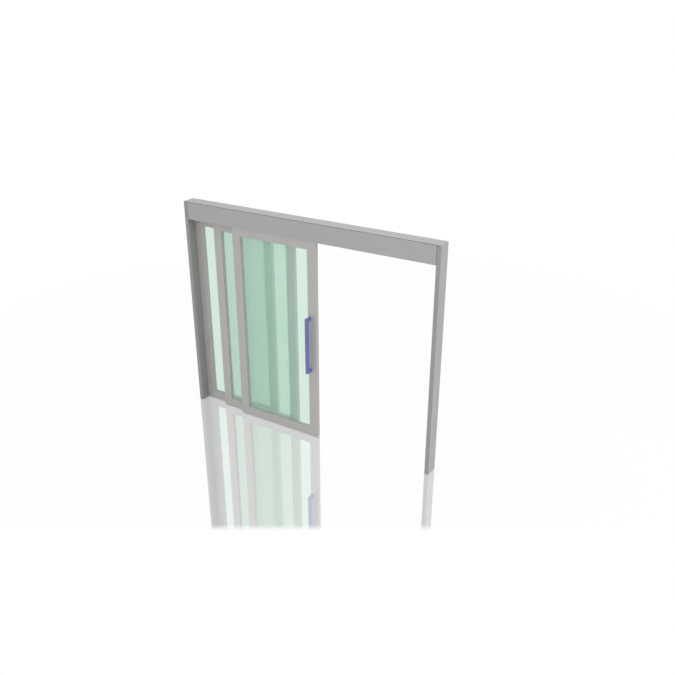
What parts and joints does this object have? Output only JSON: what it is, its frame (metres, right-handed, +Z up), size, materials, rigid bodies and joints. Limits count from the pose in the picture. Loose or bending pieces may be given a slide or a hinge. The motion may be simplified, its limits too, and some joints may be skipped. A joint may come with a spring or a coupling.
{
  "type": "telescoping glass sliding door",
  "caption": "Wide aluminium door frame with a header box and tall framed glass panels that slide behind one another to the side; the leading panel has a blue D pull.",
  "frame": {"origin": "middle of the underside of the left jamb's foot, seen from the side with the pull", "axes": "+X along the door to the right jamb, the way the panels close; +Y from the pull side to the back; +Z up"},
  "size_m": [3.048, 0.2199, 2.4384],
  "materials": {
    "jamb_aluminium": "satin anodised",
    "header_aluminium": "satin anodised",
    "panel_aluminium": "satin anodised",
    "track_aluminium": "mill finish",
    "panel_glass": "clear, faint green",
    "gasket_rubber": "matte",
    "pull_blue": "satin powder coat",
    "hanger_steel": "zinc plated",
    "roller_nylon": "matte",
    "stop_rubber": "matte"
  },
  "bodies": {
    "root": {"left_jamb": "jamb_aluminium", "right_jamb": "jamb_aluminium", "left_jamb_foot": "jamb_aluminium", "right_jamb_foot": "jamb_aluminium", "header_top_plate": "header_aluminium", "header_back_plate": "header_aluminium", "header_fascia": "header_aluminium", "header_beam": "header_aluminium", "fixed_head_filler": "header_aluminium", "header_end_left": "track_aluminium", "header_end_right": "track_aluminium", "lead_track": "track_aluminium", "middle_track": "track_aluminium", "lead_track_stops": "stop_rubber", "middle_track_stops": "stop_rubber", "middle_guide": "hanger_steel", "fixed_left_stile": "panel_aluminium", "fixed_right_stile": "panel_aluminium", "fixed_top_rail": "panel_aluminium", "fixed_bottom_rail": "panel_aluminium", "fixed_glass": "panel_glass", "fixed_gasket": "gasket_rubber"},
    "middle_panel": {"middle_left_stile": "panel_aluminium", "middle_right_stile": "panel_aluminium", "middle_top_rail": "panel_aluminium", "middle_bottom_rail": "panel_aluminium", "middle_glass": "panel_glass", "middle_gasket": "gasket_rubber", "middle_hanger_left": "hanger_steel", "middle_hanger_right": "hanger_steel", "middle_rollers": "roller_nylon", "lead_guide": "hanger_steel"},
    "lead_panel": {"lead_left_stile": "panel_aluminium", "lead_right_stile": "panel_aluminium", "lead_top_rail": "panel_aluminium", "lead_bottom_rail": "panel_aluminium", "lead_glass": "panel_glass", "lead_gasket": "gasket_rubber", "lead_hanger_left": "hanger_steel", "lead_hanger_right": "hanger_steel", "lead_rollers": "roller_nylon", "pull_grip": "pull_blue", "pull_post_top": "pull_blue", "pull_post_bottom": "pull_blue"}
  },
  "joints": [
    {"name": "lead_slide", "type": "slide", "parent": "root", "child": "lead_panel", "axis": [1, 0, 0], "range_m": [-0.594, 1.30305]},
    {"name": "middle_slide", "type": "slide", "parent": "root", "child": "middle_panel", "axis": [1, 0, 0], "range_m": [-0.297, 0.65153]}
  ],
  "couplings": [
    {"joint": "middle_slide", "follows": "lead_slide", "ratio": 0.5}
  ]
}
